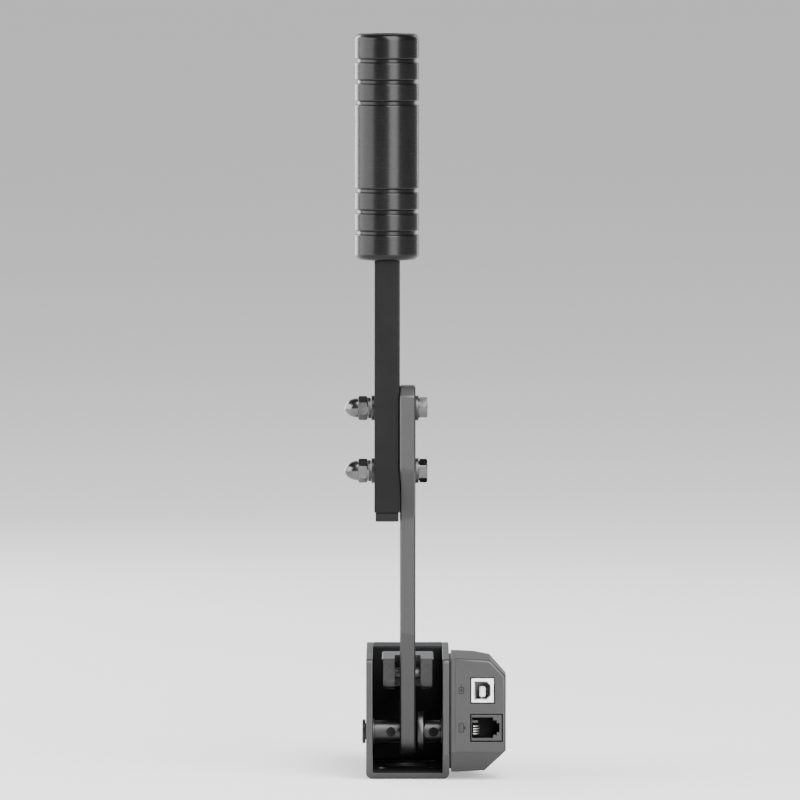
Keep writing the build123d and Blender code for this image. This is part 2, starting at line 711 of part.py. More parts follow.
def box_body(inset):
    """The sensor box's outer shape, or with an inset its cavity, as one closed solid."""
    x_in = BOX_INNER_X + BOX_BACKPLATE
    x_out = BOX_OUTER_X - inset
    y_front = FRONT + BOX_FRONT_RECESS + inset
    z_low = BOX_BOTTOM + inset
    z_high = BOX_TOP - inset
    drop = BOX_DRAFT * (x_out - x_in)
    cut = inset * (math.sqrt(2) - 1)
    top_cut = BOX_TOP_CUT - cut
    bottom_cut = BOX_BOTTOM_CUT - cut
    nose_cut = BOX_NOSE_CUT - cut
    with BuildPart() as body:
        with BuildSketch(cross_plane(y_front)):
            with BuildLine():
                Polyline(
                    (x_in, z_low),
                    (x_out - bottom_cut, z_low + drop),
                    (x_out, z_low + drop + bottom_cut),
                    (x_out, z_high - drop - top_cut),
                    (x_out - top_cut, z_high - drop),
                    (x_in, z_high),
                    close=True,
                )
            make_face()
        extrude(amount=-FRAME_LENGTH)
        with BuildSketch(Plane.XY):
            with BuildLine():
                Polyline(
                    (x_in, y_front),
                    (x_out, y_front),
                    (x_out, BOX_SHOULDER_Y),
                    (BOX_REAR_X, BOX_REAR_Y - inset),
                    (x_in, BOX_REAR_Y - inset),
                    close=True,
                )
            make_face()
        extrude(amount=2 * FRAME_HEIGHT, mode=Mode.INTERSECT)
        with BuildSketch(Plane.YZ):
            with BuildLine():
                Polyline(
                    (y_front, 0),
                    (y_front + nose_cut + z_low, 0),
                    (y_front, nose_cut + z_low),
                    close=True,
                )
            make_face()
        extrude(amount=2 * BOX_OUTER_X, mode=Mode.SUBTRACT)
    return body


def sensor_housing():
    """Moulded cover, open towards the frame, with four bosses and the two socket windows."""
    cavity = box_body(BOX_WALL)
    cover = box_body(0.0)
    x_in = BOX_INNER_X + BOX_BACKPLATE
    with BuildPart() as bosses:
        with BuildSketch(Plane.YZ.offset(x_in)):
            with Locations(*BOX_SCREW_PLACES):
                Circle(BOX_BOSS_RADIUS)
        extrude(amount=BOX_OUTER_X - x_in)
    with BuildPart() as housing:
        add(cover.part)
        fillet(housing.faces().sort_by(Axis.Y)[0].edges().sort_by(Axis.X)[1:], BOX_FRONT_ROUND)
        add(cavity.part - bosses.part, mode=Mode.SUBTRACT)
        with BuildSketch(cross_plane(FRONT + 2 * BOX_WALL)):
            for (x_low, x_high), (z_low, z_high) in ((USB_X, USB_Z), (JACK_X, JACK_Z)):
                with Locations(((x_low + x_high) / 2, (z_low + z_high) / 2)):
                    Rectangle(x_high - x_low + 2 * SOCKET_FIT, z_high - z_low + 2 * SOCKET_FIT)
        extrude(amount=4 * BOX_WALL, mode=Mode.SUBTRACT)
        with BuildSketch(Plane.YZ.offset(x_in)):
            with Locations(*BOX_SCREW_PLACES):
                Circle(BOX_SCREW_RADIUS)
        extrude(amount=BOX_SCREW_LENGTH - PLATE - BOX_BACKPLATE, mode=Mode.SUBTRACT)
    return housing


def backplate_outline(inset):
    """Corners of the sensor box's side next to the frame, as (y, z)."""
    y_front = FRONT + BOX_FRONT_RECESS + inset
    y_rear = BOX_REAR_Y - inset
    z_low = BOX_BOTTOM + inset
    z_high = BOX_TOP - inset
    nose = BOX_NOSE_CUT - inset * (math.sqrt(2) - 1)
    return (
        (y_front, z_high),
        (y_front, z_low + nose),
        (y_front + nose, z_low),
        (y_rear, z_low),
        (y_rear, z_high),
    )


def housing_backplate():
    """Flat plate that closes the cover, with an inset land that seats it on the frame's side."""
    with BuildPart() as plate:
        for x_start, x_end, inset in (
            (BOX_INNER_X, BOX_INNER_X + BOX_BACKPLATE, 0.0),
            (FRAME_WIDTH / 2, BOX_INNER_X, BOX_LAND_INSET),
        ):
            with BuildSketch(Plane.YZ.offset(x_start)):
                with BuildLine():
                    Polyline(*backplate_outline(inset), close=True)
                make_face()
            extrude(amount=x_end - x_start)
        with BuildSketch(Plane.YZ.offset(FRAME_WIDTH / 2)):
            with Locations(*BOX_SCREW_PLACES):
                Circle(BOX_SCREW_RADIUS)
            with Locations((PIVOT_Y, PIVOT_Z)):
                Circle(BOX_SHAFT_HOLE_RADIUS)
        extrude(amount=BOX_OUTER_X, mode=Mode.SUBTRACT)
    return plate


def sensor_board():
    with BuildPart() as board:
        with BuildSketch(Plane.YZ.offset(BOARD_X)):
            with Locations((sum(BOARD_Y) / 2, sum(BOARD_Z) / 2)):
                Rectangle(BOARD_Y[1] - BOARD_Y[0], BOARD_Z[1] - BOARD_Z[0])
        extrude(amount=BOARD)
    return board


def sensor_chip():
    """Angle sensor on the board, facing the magnet."""
    with BuildPart() as chip:
        with BuildSketch(Plane.YZ.offset(BOARD_X - CHIP)):
            with Locations((PIVOT_Y, PIVOT_Z)):
                Rectangle(CHIP_SIDE, CHIP_SIDE)
        extrude(amount=CHIP)
    return chip


def usb_shell():
    """Square socket shell with two bevelled corners on its outer side."""
    x_low, x_high = USB_X
    z_low, z_high = USB_Z
    with BuildPart() as shell:
        with BuildSketch(cross_plane(FRONT)):
            with Locations(((x_low + x_high) / 2, (z_low + z_high) / 2)):
                Rectangle(x_high - x_low, z_high - z_low)
        extrude(amount=-USB_DEPTH)
        with BuildSketch(cross_plane(FRONT)):
            with BuildLine():
                Polyline(
                    (x_low + USB_WALL, z_low + USB_WALL),
                    (x_high - USB_WALL - USB_BEVEL, z_low + USB_WALL),
                    (x_high - USB_WALL, z_low + USB_WALL + USB_BEVEL),
                    (x_high - USB_WALL, z_high - USB_WALL - USB_BEVEL),
                    (x_high - USB_WALL - USB_BEVEL, z_high - USB_WALL),
                    (x_low + USB_WALL, z_high - USB_WALL),
                    close=True,
                )
            make_face()
        extrude(amount=USB_WALL - USB_DEPTH, mode=Mode.SUBTRACT)
    return shell


def usb_tongue():
    with BuildPart() as tongue:
        with BuildSketch(cross_plane(FRONT + USB_TONGUE_RECESS)):
            with Locations((sum(USB_TONGUE_X) / 2, sum(USB_TONGUE_Z) / 2)):
                Rectangle(USB_TONGUE_X[1] - USB_TONGUE_X[0], USB_TONGUE_Z[1] - USB_TONGUE_Z[0])
        extrude(amount=-(USB_DEPTH - USB_WALL - USB_TONGUE_RECESS))
        chamfer(tongue.faces().sort_by(Axis.Y)[0].edges(), GROOVE_LIP)
    return tongue


def modular_jack():
    """Socket for a modular plug: a rectangular mouth with a two-step key on its outer side."""
    x_low, x_high = JACK_X
    z_low, z_high = JACK_Z
    z_mid = (z_low + z_high) / 2
    with BuildPart() as jack:
        with BuildSketch(cross_plane(FRONT)):
            with Locations(((x_low + x_high) / 2, z_mid)):
                Rectangle(x_high - x_low, z_high - z_low)
        extrude(amount=-JACK_DEPTH)
        with BuildSketch(cross_plane(FRONT)):
            steps = zip((JACK_MOUTH_X[1],) + JACK_KEY_X, (JACK_MOUTH_HEIGHT,) + JACK_KEY_HEIGHT)
            for x_end, height in steps:
                with Locations(((JACK_MOUTH_X[0] + x_end) / 2, z_mid)):
                    Rectangle(x_end - JACK_MOUTH_X[0], height)
        extrude(amount=-JACK_MOUTH_DEPTH, mode=Mode.SUBTRACT)
    return jack


def jack_contacts():
    """Four spring wires that slope from the mouth's inner side towards the back."""
    z_mid = sum(JACK_Z) / 2 - JACK_CONTACT_DROP
    y_back = FRONT + JACK_CONTACT_BACK
    y_front = FRONT + JACK_CONTACT_FRONT
    x_root, x_tip = JACK_CONTACT_X
    with BuildPart() as contacts:
        for index in range(JACK_CONTACTS):
            z = z_mid + (index - (JACK_CONTACTS - 1) / 2) * JACK_CONTACT_PITCH
            with BuildSketch(Plane.XY.offset(z - JACK_CONTACT_SECTION / 2)):
                with BuildLine():
                    Polyline(
                        (x_root, y_front),
                        (x_root + JACK_CONTACT_SECTION, y_front),
                        (x_tip, y_back),
                        (x_tip - JACK_CONTACT_SECTION, y_back),
                        close=True,
                    )
                make_face()
            extrude(amount=JACK_CONTACT_SECTION)
    return contacts


def port_marks():
    """Plain raised bars beside each socket, in place of lettering."""
    with BuildPart() as marks:
        for low, high in (USB_Z, JACK_Z):
            centre = (low + high) / 2
            with BuildSketch(cross_plane(FRONT + BOX_FRONT_RECESS)):
                with Locations((sum(MARK_X) / 2, centre - 2 * MARK_BAR), (sum(MARK_X) / 2, centre)):
                    Rectangle(MARK_X[1] - MARK_X[0], MARK_BAR)
                with Locations((sum(MARK_X) / 2, centre + 2 * MARK_BAR)):
                    Circle(MARK_BAR)
            extrude(amount=MARK)
    return marks


def build_root():
    save(base_frame(), "base_frame")
    save(end_block(), "end_block")
    block_places = [(y, BLOCK_SCREW_Z) for y in BLOCK_SCREW_Y]
    for side, name in ((-1, "end_block_screws_left"), (1, "end_block_screws_right")):
        screws = flush_screws(
            block_places,
            side * FRAME_WIDTH / 2,
            -side,
            BLOCK_SCREW_RADIUS,
            BLOCK_SCREW_HEAD_RADIUS,
            BLOCK_SCREW_LENGTH,
        )
        save(screws, name)
    save(pivot_bush(-1), "pivot_bush_left")
    save(pivot_bush(1), "pivot_bush_right")
    guide_rings = ((GUIDE_RADIUS, END_BLOCK_FRONT, BACK - COUNTERBORE_DEPTH),)
    save(turned_y(guide_rings, bore=ROD_RADIUS + RUNNING_GAP), "rod_guide_bush")
    for index in range(ELASTOMER_COUNT):
        y_start = FORK_BACK_Y + PRELOAD_PLATE + index * (ELASTOMER_LENGTH + STACK_WASHER)
        save(elastomer(y_start), f"elastomer_{index + 1}")
        if index + 1 < ELASTOMER_COUNT:
            y_washer = y_start + ELASTOMER_LENGTH
            ring = ((STACK_RADIUS, y_washer, y_washer + STACK_WASHER),)
            save(turned_y(ring, bore=STACK_BORE_RADIUS), f"stack_washer_{index + 1}")


def build_sensor_box():
    save(sensor_housing(), "sensor_housing")
    save(housing_backplate(), "housing_backplate")
    box_screws = flush_screws(
        BOX_SCREW_PLACES, INNER_X, 1, BOX_SCREW_RADIUS, BOX_SCREW_HEAD_RADIUS, BOX_SCREW_LENGTH
    )
    save(box_screws, "housing_screws")
    save(sensor_board(), "sensor_board")
    save(sensor_chip(), "sensor_chip")
    save(usb_shell(), "usb_shell")
    save(usb_tongue(), "usb_tongue")
    save(modular_jack(), "modular_jack")
    save(jack_contacts(), "jack_contacts")
    save(port_marks(), "port_marks")


def build_lever():
    save(lever_arm(), "lever_arm")
    save(pivot_shaft(), "pivot_shaft")
    save(shaft_cap(), "shaft_cap")
    collar_end = INNER_X - BUSH_FLANGE - COLLAR_GAP
    save(collar(-collar_end, -LEVER_HALF, LEFT_SCREW_X), "collar_left")
    save(collar(RIGHT_COLLAR_X, collar_end, RIGHT_SCREW_X), "collar_right")
    save(collar_screws(), "collar_screws")
    flange_rings = (
        (FLANGE_STEP_RADIUS, LEVER_HALF, LEVER_HALF + FLANGE_STEP),
        (FLANGE_RADIUS, LEVER_HALF + FLANGE_STEP, FLANGE_FACE_X),
    )
    save(turned_x(flange_rings, bore=SHAFT_RADIUS), "lever_flange")
    magnet_x = SHAFT_RIGHT_X
    save(turned_x(((MAGNET_RADIUS, magnet_x, magnet_x + MAGNET),)), "sensor_magnet")
    save(clevis_pin(), "clevis_pin")
    save(grip_bar(), "grip_bar")
    save(bar_end_cap(), "bar_end_cap")
    save(handle_bolts(), "handle_bolts")
    save(washers(FLAT_WASHER_RADIUS, LEVER_HALF, LEVER_HALF + FLAT_WASHER), "bolt_washers")
    nut_side = BAR_X[0] - FLAT_WASHER
    save(washers(FLAT_WASHER_RADIUS, nut_side, BAR_X[0]), "nut_washers")
    spring_side = nut_side - SPRING_WASHER
    save(washers(SPRING_WASHER_RADIUS, spring_side, nut_side, 1.0), "spring_washers")
    save(cap_nuts(), "cap_nuts")
    save(grip_stud(), "grip_stud")
    save(grip(), "grip")
    save(grip_plug(), "grip_plug")


def build_push_rod():
    save(clevis_fork(), "clevis_fork")
    save(turned_y(((ROD_RADIUS, FORK_BACK_Y - ROD_SINK, ROD_END_Y),)), "push_rod")
    plate_ring = ((STACK_RADIUS, FORK_BACK_Y, FORK_BACK_Y + PRELOAD_PLATE),)
    save(turned_y(plate_ring, bore=ROD_RADIUS), "preload_plate")
    floor_y = BACK - COUNTERBORE_DEPTH
    washer_ring = ((HEX_CORNER, floor_y, floor_y + STOP_WASHER),)
    save(turned_y(washer_ring, bore=ROD_RADIUS), "stop_washer")
    nut_y = floor_y + STOP_WASHER
    spans = ((nut_y, nut_y + STOP_NUT), (nut_y + STOP_NUT, nut_y + STOP_NUT + JAM_NUT))
    save(hexagons_y(spans[:1], ROD_RADIUS), "stop_nut")
    save(hexagons_y(spans[1:], ROD_RADIUS), "jam_nut")


build_root()
build_sensor_box()
build_lever()
build_push_rod()
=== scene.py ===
"""Looks of the lever handbrake: finishes for the CAD nodes, turned and moulded pieces with finer detail,
a pale floor, soft boxes and the camera. Metres, in the row's own frame: +Z up, sockets face -Y."""

import math

import bmesh
import bpy
from mathutils import Matrix, Vector


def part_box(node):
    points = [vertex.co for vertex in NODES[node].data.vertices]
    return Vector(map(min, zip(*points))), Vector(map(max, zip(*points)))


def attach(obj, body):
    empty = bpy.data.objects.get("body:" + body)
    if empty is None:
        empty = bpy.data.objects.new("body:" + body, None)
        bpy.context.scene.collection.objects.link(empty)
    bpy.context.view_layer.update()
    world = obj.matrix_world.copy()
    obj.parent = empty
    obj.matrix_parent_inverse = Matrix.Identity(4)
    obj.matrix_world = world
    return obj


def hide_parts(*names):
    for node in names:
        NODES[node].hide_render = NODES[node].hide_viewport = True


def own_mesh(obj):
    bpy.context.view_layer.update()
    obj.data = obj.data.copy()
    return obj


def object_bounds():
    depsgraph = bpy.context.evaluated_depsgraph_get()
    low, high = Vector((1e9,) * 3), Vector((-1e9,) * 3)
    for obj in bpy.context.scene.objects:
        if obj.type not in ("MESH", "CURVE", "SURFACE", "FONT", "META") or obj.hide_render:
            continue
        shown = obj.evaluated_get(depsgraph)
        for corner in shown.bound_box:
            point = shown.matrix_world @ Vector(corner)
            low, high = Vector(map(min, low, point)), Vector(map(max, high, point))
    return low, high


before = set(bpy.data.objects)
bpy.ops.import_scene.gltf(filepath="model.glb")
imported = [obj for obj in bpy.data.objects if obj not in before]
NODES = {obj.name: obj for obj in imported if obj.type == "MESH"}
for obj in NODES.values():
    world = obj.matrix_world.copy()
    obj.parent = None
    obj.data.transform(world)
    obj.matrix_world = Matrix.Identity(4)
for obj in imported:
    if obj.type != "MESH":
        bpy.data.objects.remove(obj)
CAD_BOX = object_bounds()
MM = 0.001

# Standard M6 hardware, and counts shared by several functions.
HEX_ACROSS_FLATS = 10.0 * MM
FLAT_WASHER_RADIUS = 6.0 * MM
FLAT_WASHER_BORE = 3.2 * MM
TURNED_CORNER_SHARE = 0.965
BOLT_TURNS = (4.0, 20.0)
CAP_NUT_TURNS = (-5.0, 0.0)
CAP_NUT_HEX = 4.7 * MM
CAP_NUT_DOME_RADIUS = 4.75 * MM
GROOVE_BANKS = 2
GROOVES_PER_BANK = 3
PADS = 3
JACK_WIRES = 4

# Stage, light and camera, in metres and degrees.
FLOOR_HALF = 60.0
FLOOR_GLOW = 0.46
LIGHT_TARGET = (0.0, 0.0, 0.19)
SKY_FROM, SKY_FULL = 0.35, 0.75
SKY_ELSEWHERE, SKY_BEHIND = 0.12, 0.75
SENSOR_WIDTH = 36.0
LENS = 545.5
LOOK_DOWN = math.radians(2.744)
CAMERA_X = -3.7 * MM
CAMERA_DISTANCE = 5.8
CAMERA_HEIGHT = 0.461
X_AXIS = Vector((1, 0, 0))
Y_AXIS = Vector((0, 1, 0))
Z_AXIS = Vector((0, 0, 1))


# ---------------------------------------------------------------- materials


class Nodes:
    """A small builder of one material's node tree, in object coordinates."""

    def __init__(self, name):
        self.material = bpy.data.materials.new(name)
        self.material.use_nodes = True
        self.tree = self.material.node_tree
        self.shader = self.tree.nodes["Principled BSDF"]
        self.coords = self.tree.nodes.new("ShaderNodeTexCoord").outputs["Object"]

    def add(self, kind, **inputs):
        node = self.tree.nodes.new(kind)
        for key, value in inputs.items():
            self.put(node.inputs[key.replace("_", " ")], value)
        return node

    def put(self, socket, value):
        if isinstance(value, bpy.types.NodeSocket):
            self.tree.links.new(value, socket)
        else:
            socket.default_value = value

    def stretched(self, scale):
        """Object coordinates scaled on each axis, for grain that runs one way."""
        mapping = self.add("ShaderNodeMapping", Vector=self.coords)
        mapping.inputs["Scale"].default_value = scale
        return mapping.outputs["Vector"]

    def noise(self, scale, detail=3.0, roughness=0.55, vector=None):
        node = self.add("ShaderNodeTexNoise", Scale=scale, Detail=detail, Roughness=roughness)
        self.put(node.inputs["Vector"], vector or self.coords)
        return node.outputs["Fac"]

    def span(self, value, low, high, from_low=0.3, from_high=0.7):
        """value from its usual range to low..high."""
        node = self.add("ShaderNodeMapRange", Value=value)
        node.inputs["From Min"].default_value = from_low
        node.inputs["From Max"].default_value = from_high
        node.inputs["To Min"].default_value = low
        node.inputs["To Max"].default_value = high
        return node.outputs["Result"]

    def ramp(self, value, stops):
        node = self.add("ShaderNodeValToRGB", Fac=value)
        elements = node.color_ramp.elements
        for index, (place, colour) in enumerate(stops):
            element = elements[index] if index < 2 else elements.new(place)
            element.position = place
            element.color = (*colour, 1.0)
        return node.outputs["Color"]

    def bump(self, height, distance, strength=1.0, normal=None):
        node = self.add("ShaderNodeBump", Height=height, Distance=distance, Strength=strength)
        if normal is not None:
            self.put(node.inputs["Normal"], normal)
        return node.outputs["Normal"]

    def set(self, **inputs):
        for key, value in inputs.items():
            self.put(self.shader.inputs[key.replace("_", " ")], value)
        return self


def shade(value, tint=(1.0, 1.0, 1.0)):
    return tuple(value * part for part in tint)


def powder_coat():
    """Fine-textured black powder coat on steel."""
    n = Nodes("powder_coat")
    peel = n.noise(900.0, 2.0)
    grit = n.noise(3600.0, 3.0, 0.65)
    cloud = n.noise(55.0, 4.0)
    colour = n.ramp(grit, ((0.3, shade(0.003)), (0.62, shade(0.007)), (0.8, shade(0.013))))
    n.set(Base_Color=colour, Roughness=n.span(cloud, 0.38, 0.46), Specular_IOR_Level=0.60)
    n.set(Normal=n.bump(grit, 0.03 * MM, 0.45, n.bump(peel, 0.05 * MM, 0.4)))
    return n.material


def anodised(name, grain, low=0.26, high=0.34, gloss=0.45, cut=0.3):
    """Black anodised aluminium; grain is the coordinate scale of its machining marks."""
    n = Nodes(name)
    marks = n.noise(1.0, 2.0, 0.5, n.stretched(grain))
    pores = n.noise(5200.0, 2.0, 0.6)
    cloud = n.noise(38.0, 3.0)
    colour = n.ramp(cloud, ((0.25, shade(0.002)), (0.75, shade(0.005, (1.0, 1.0, 1.03)))))
    n.set(Base_Color=colour, Roughness=n.span(marks, low, high), Specular_IOR_Level=gloss)
    n.set(Normal=n.bump(pores, 0.012 * MM, 0.4, n.bump(marks, 0.012 * MM, cut)))
    return n.material


def black_chrome():
    """Dark plated fasteners: mirror-like with faint drawing marks."""
    n = Nodes("black_chrome")
    marks = n.noise(1.0, 2.0, 0.5, n.stretched((400.0, 2600.0, 2600.0)))
    cloud = n.noise(160.0, 3.0)
    colour = n.ramp(cloud, ((0.3, shade(0.075)), (0.7, shade(0.13, (1.0, 1.0, 1.03)))))
    n.set(Base_Color=colour, Metallic=1.0, Roughness=n.span(cloud, 0.16, 0.26))
    n.set(Normal=n.bump(marks, 0.01 * MM, 0.4))
    return n.material


def black_oxide():
    """Oiled black oxide on steel screws, pins and shafts."""
    n = Nodes("black_oxide")
    marks = n.noise(1500.0, 3.0)
    cloud = n.noise(120.0, 4.0)
    colour = n.ramp(cloud, ((0.3, shade(0.030)), (0.7, shade(0.055, (1.0, 0.99, 0.97)))))
    n.set(Base_Color=colour, Metallic=0.85, Roughness=n.span(cloud, 0.28, 0.42))
    n.set(Normal=n.bump(marks, 0.015 * MM, 0.4))
    return n.material


def moulded(name, value=0.016, low=0.40, high=0.50, gloss=0.5):
    """Injection-moulded plastic with a fine spark-eroded grain."""
    n = Nodes(name)
    cells = n.add("ShaderNodeTexVoronoi", Scale=2600.0, Vector=n.coords).outputs["Distance"]
    grain = n.noise(2100.0, 3.0, 0.6)
    flow = n.noise(24.0, 2.0)
    colour = n.ramp(flow, ((0.25, shade(value * 0.8)), (0.75, shade(value * 1.25))))
    n.set(Base_Color=colour, Roughness=n.span(grain, low, high), Specular_IOR_Level=gloss)
    n.set(Normal=n.bump(cells, 0.02 * MM, 0.35, n.bump(grain, 0.03 * MM, 0.4)))
    return n.material


def plated(name, value, tint, low, high):
    """Bright plated metal, with a faint rolled grain."""
    n = Nodes(name)
    marks = n.noise(1.0, 2.0, 0.5, n.stretched((3000.0, 300.0, 3000.0)))
    cloud = n.noise(300.0, 3.0)
    colour = n.ramp(cloud, ((0.3, shade(value * 0.85, tint)), (0.7, shade(value, tint))))
    n.set(Base_Color=colour, Metallic=1.0, Roughness=n.span(cloud, low, high))
    n.set(Normal=n.bump(marks, 0.01 * MM, 0.3))
    return n.material


def white_moulding():
    n = Nodes("white_moulding")
    grain = n.noise(1800.0, 2.0)
    colour = n.ramp(grain, ((0.3, shade(0.74)), (0.7, shade(0.84, (1.0, 1.0, 0.98)))))
    n.set(Base_Color=colour, Roughness=n.span(grain, 0.32, 0.42), Normal=n.bump(grain, 0.01 * MM, 0.3))
    return n.material


def polyurethane():
    """Cast elastomer: dark, slightly waxy, with faint flow lines."""
    n = Nodes("polyurethane")
    flow = n.noise(260.0, 4.0, 0.6)
    pits = n.noise(2200.0, 2.0)
    colour = n.ramp(flow, ((0.3, shade(0.020)), (0.7, shade(0.036))))
    n.set(Base_Color=colour, Roughness=n.span(flow, 0.42, 0.58), Subsurface_Weight=0.05)
    n.shader.inputs["Subsurface Scale"].default_value = 0.5 * MM
    n.set(Normal=n.bump(pits, 0.03 * MM, 0.4))
    return n.material


def solder_mask():
    n = Nodes("solder_mask")
    weave = n.add("ShaderNodeTexBrick", Vector=n.stretched((900.0, 900.0, 900.0))).outputs["Fac"]
    traces = n.noise(420.0, 1.0, 0.3)
    colour = n.ramp(traces, ((0.45, (0.006, 0.035, 0.016)), (0.5, (0.012, 0.075, 0.03))))
    n.set(Base_Color=colour, Roughness=n.span(traces, 0.28, 0.36), Normal=n.bump(weave, 0.01 * MM, 0.3))
    return n.material


def pad_print():
    n = Nodes("pad_print")
    grain = n.noise(2600.0, 3.0)
    colour = n.ramp(grain, ((0.3, shade(0.002)), (0.7, shade(0.005))))
    n.set(Base_Color=colour, Roughness=n.span(grain, 0.62, 0.74), Specular_IOR_Level=0.2)
    n.set(Normal=n.bump(grain, 0.01 * MM, 0.4))
    return n.material


def painted_floor():
    n = Nodes("painted_floor")
    cloud = n.noise(1.2, 4.0)
    grain = n.noise(60.0, 3.0)
    colour = n.ramp(cloud, ((0.3, shade(0.66)), (0.7, shade(0.70, (1.0, 1.0, 0.99)))))
    n.set(Base_Color=colour, Roughness=n.span(grain, 0.72, 0.82), Specular_IOR_Level=0.1)
    n.set(Emission_Color=(1.0, 1.0, 1.0, 1.0), Emission_Strength=FLOOR_GLOW)
    return n.material


COAT = powder_coat()
TURNED = anodised("anodised_turned", (40.0, 40.0, 2600.0), 0.24, 0.28, 0.22, 0.12)
DRAWN = anodised("anodised_drawn", (2600.0, 2600.0, 60.0), 0.36, 0.44, 0.12)
MILLED = anodised("anodised_milled", (900.0, 4200.0, 900.0))
# Black steel set screws, made darker and duller than the other oxide screws as painted shade of the holes
# they sit in.
BLACKENED_AND_HOLE_SHADE = anodised("blackened_steel_and_painted_shade", (900.0, 900.0, 900.0), 0.40, 0.50, 0.15)
CAP_MOULDING = moulded("cap_moulding", 0.004, 0.50, 0.60, 0.15)
COLLAR = anodised("anodised_collar", (2600.0, 40.0, 40.0), 0.30, 0.36, 0.50, 0.12)
BLOCK = anodised("anodised_block", (900.0, 900.0, 2600.0), 0.42, 0.50, 0.10)
CHROME = black_chrome()
OXIDE = black_oxide()
MOULDING = moulded("moulding", 0.010)
JACK_MOULDING = moulded("jack_moulding", 0.012, 0.36, 0.44)
# Darker moulding for the inside of the jack's mouth: painted shade of the recess.
JACK_PAINTED_SHADE = moulded("jack_painted_shade", 0.003, 0.55, 0.65, 0.12)
BUSHING = moulded("bushing", 0.012, 0.30, 0.42)
SOCKET_METAL = plated("socket_metal", 0.92, (1.0, 1.0, 0.99), 0.30, 0.42)
# Darker plating for the inside of the USB opening: painted shade of the recess.
SOCKET_PAINTED_SHADE = plated("socket_painted_shade", 0.16, (1.0, 1.0, 1.0), 0.42, 0.55)
CONTACT_METAL = plated("contact_metal", 0.95, (1.0, 0.96, 0.88), 0.30, 0.40)
WHITE = white_moulding()
RUBBER = polyurethane()
BOARD = solder_mask()
PRINT = pad_print()


# ---------------------------------------------------------------- mesh helpers


def along(axis, centre):
    """A matrix whose local Z runs along axis from centre."""
    turn = Z_AXIS.rotation_difference(Vector(axis).normalized())
    return Matrix.Translation(Vector(centre)) @ turn.to_matrix().to_4x4()


def piece(name, bm, material, body, replaced=(), angle=32.0, others=()):
    """Makes a shaded object of bm that rides on body and stands for the replaced nodes."""
    bmesh.ops.recalc_face_normals(bm, faces=bm.faces)
    mesh = bpy.data.meshes.new(name)
    bm.to_mesh(mesh)
    bm.free()
    for used in (material, *others):
        mesh.materials.append(used)
    mesh.shade_smooth()
    mesh.set_sharp_from_angle(angle=math.radians(angle))
    made = bpy.data.objects.new(name, mesh)
    bpy.context.scene.collection.objects.link(made)
    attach(made, body)
    if replaced:
        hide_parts(*replaced)
    return made


def add_rings(bm, place, rings, segments=96, close_ends=True):
    """Skins rows of points: each ring is a function from an angle to (radius, height)."""
    rows = []
    for ring in rings:
        row = []
        for index in range(segments):
            angle = 2 * math.pi * index / segments
            radius, height = ring(angle)
            point = Vector((radius * math.cos(angle), radius * math.sin(angle), height))
            row.append(bm.verts.new(place @ point))
        rows.append(row)
    for lower, upper in zip(rows, rows[1:]):
        for index in range(segments):
            after = (index + 1) % segments
            bm.faces.new((lower[index], lower[after], upper[after], upper[index]))
    if close_ends:
        bm.faces.new(rows[0])
        bm.faces.new(rows[-1])
    else:
        for index in range(segments):
            after = (index + 1) % segments
            bm.faces.new((rows[-1][index], rows[-1][after], rows[0][after], rows[0][index]))


def circle(radius, height):
    return lambda angle: (radius, height)


def fillet_arc(centre_r, centre_h, radius, start, end, steps=6):
    """Profile points of an arc, angles in degrees from the radial direction."""
    turns = [math.radians(start + (end - start) * i / steps) for i in range(steps + 1)]
    return [(centre_r + radius * math.cos(t), centre_h + radius * math.sin(t)) for t in turns]


def lathe(bm, place, profile, segments=128, close_ends=True):
    add_rings(bm, place, [circle(r, h) for r, h in profile], segments, close_ends)


def hex_radius(angle, across, turn):
    """Distance from a hexagon's centre to its side at angle."""
    sixth = math.pi / 3
    return across / 2 / math.cos((angle - turn) % sixth - sixth / 2)


def hexagon_rings(across, low, high, turn, chamfer_low=True, chamfer_high=True):
    """Rings of a hexagon prism whose corners are turned off at 30 degrees."""
    circle_r = across / 2 * TURNED_CORNER_SHARE
    slope = math.tan(math.radians(30))

    def corner(level, sign):
        def ring(angle):
            radius = hex_radius(angle, across, turn)
            return radius, level - sign * (radius - circle_r) * slope
        return ring

    def plain(level):
        return lambda angle: (hex_radius(angle, across, turn), level)

    rings = [circle(circle_r, low), corner(low, -1)] if chamfer_low else [plain(low)]
    rings += [corner(high, 1), circle(circle_r, high)] if chamfer_high else [plain(high)]
    return rings


def cad_finish(names, material, bevel=0.0, segments=3):
    """Gives CAD nodes a finish, and a small bevel by modifier."""
    for name in names:
        node = NODES[name]
        node.data.materials.clear()
        node.data.materials.append(material)
        if bevel:
            weld = node.modifiers.new("weld", "WELD")
            weld.merge_threshold = 0.002 * MM
            edge = node.modifiers.new("bevel", "BEVEL")
            edge.width = bevel
            edge.segments = segments
            edge.limit_method = "ANGLE"
            edge.angle_limit = math.radians(38)
            edge.harden_normals = True
            edge.use_clamp_overlap = True


def box_of(node):
    low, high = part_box(node)
    return Vector(low), Vector(high)


# ---------------------------------------------------------------- grip


